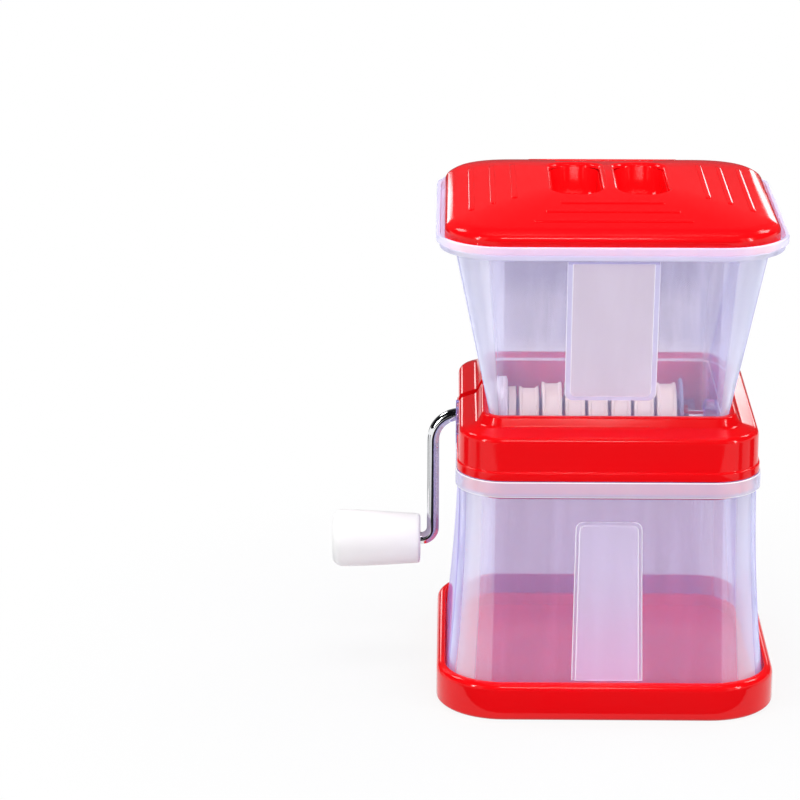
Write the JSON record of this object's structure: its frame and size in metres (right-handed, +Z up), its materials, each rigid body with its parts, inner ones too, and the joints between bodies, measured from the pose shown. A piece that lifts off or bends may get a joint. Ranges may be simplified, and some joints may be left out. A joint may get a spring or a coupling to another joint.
{
  "type": "vegetable chopper",
  "caption": "Hand-cranked vegetable chopper: clear hopper and container with red tray, collar and lid, and a bent steel crank that turns flat blades between fixed combs",
  "frame": {"origin": "centre of the tray's flat underside, on the surface that the chopper stands on", "axes": "+Z up; -X towards the crank handle; -Y towards the viewer of the picture, across the shaft"},
  "size_m": [0.2132, 0.1628, 0.2462],
  "materials": {
    "red_plastic": "glossy moulded red plastic",
    "clear_plastic": "clear plastic with a faint lavender haze and frosted pads",
    "white_plastic": "satin white plastic",
    "cream_plastic": "satin cream plastic",
    "smoky_plastic": "smoky translucent plastic",
    "chromed_rod": "bright chromed steel",
    "blade_steel": "ground stainless steel",
    "plated_steel": "zinc-plated steel"
  },
  "bodies": {
    "tray": {"base_tray": "red_plastic"},
    "container": {"lower_container": "clear_plastic"},
    "collar_ring": {"collar": "red_plastic"},
    "hopper_unit": {"hopper": "clear_plastic", "front_comb": "clear_plastic", "back_comb": "clear_plastic", "crank_side_bush": "white_plastic", "far_side_bush": "clear_plastic"},
    "lid_cover": {"lid": "red_plastic"},
    "rotor": {"crank_rod": "chromed_rod", "blade_1": "blade_steel", "blade_2": "blade_steel", "blade_3": "blade_steel", "blade_4": "blade_steel", "blade_5": "blade_steel", "blade_6": "blade_steel", "blade_7": "blade_steel", "blade_8": "blade_steel", "end_spacer": "cream_plastic", "spacer_1": "cream_plastic", "spacer_2": "cream_plastic", "spacer_3": "cream_plastic", "spacer_4": "cream_plastic", "spacer_5": "cream_plastic", "spacer_6": "cream_plastic", "spacer_7": "cream_plastic", "end_washer": "smoky_plastic", "stack_nut": "plated_steel", "grip_retainer": "plated_steel"},
    "grip": {"handle_grip": "white_plastic"}
  },
  "joints": [
    {"name": "container_lift", "type": "slide", "parent": "tray", "child": "container", "axis": [0, 0, 1], "range_m": [0, 0.12]},
    {"name": "collar_lift", "type": "slide", "parent": "container", "child": "collar_ring", "axis": [0, 0, 1], "range_m": [0, 0.08]},
    {"name": "hopper_lift", "type": "slide", "parent": "collar_ring", "child": "hopper_unit", "axis": [0, 0, 1], "range_m": [0, 0.1]},
    {"name": "lid_lift", "type": "slide", "parent": "hopper_unit", "child": "lid_cover", "axis": [0, 0, 1], "range_m": [0, 0.12]},
    {"name": "crank_turn", "type": "hinge", "parent": "hopper_unit", "child": "rotor", "pos_m": [0, 0, 0.1268], "axis": [1, 0, 0], "continuous": true},
    {"name": "grip_spin", "type": "hinge", "parent": "rotor", "child": "grip", "pos_m": [-0.11, 0, 0.0632], "axis": [1, 0, 0], "continuous": true}
  ]
}
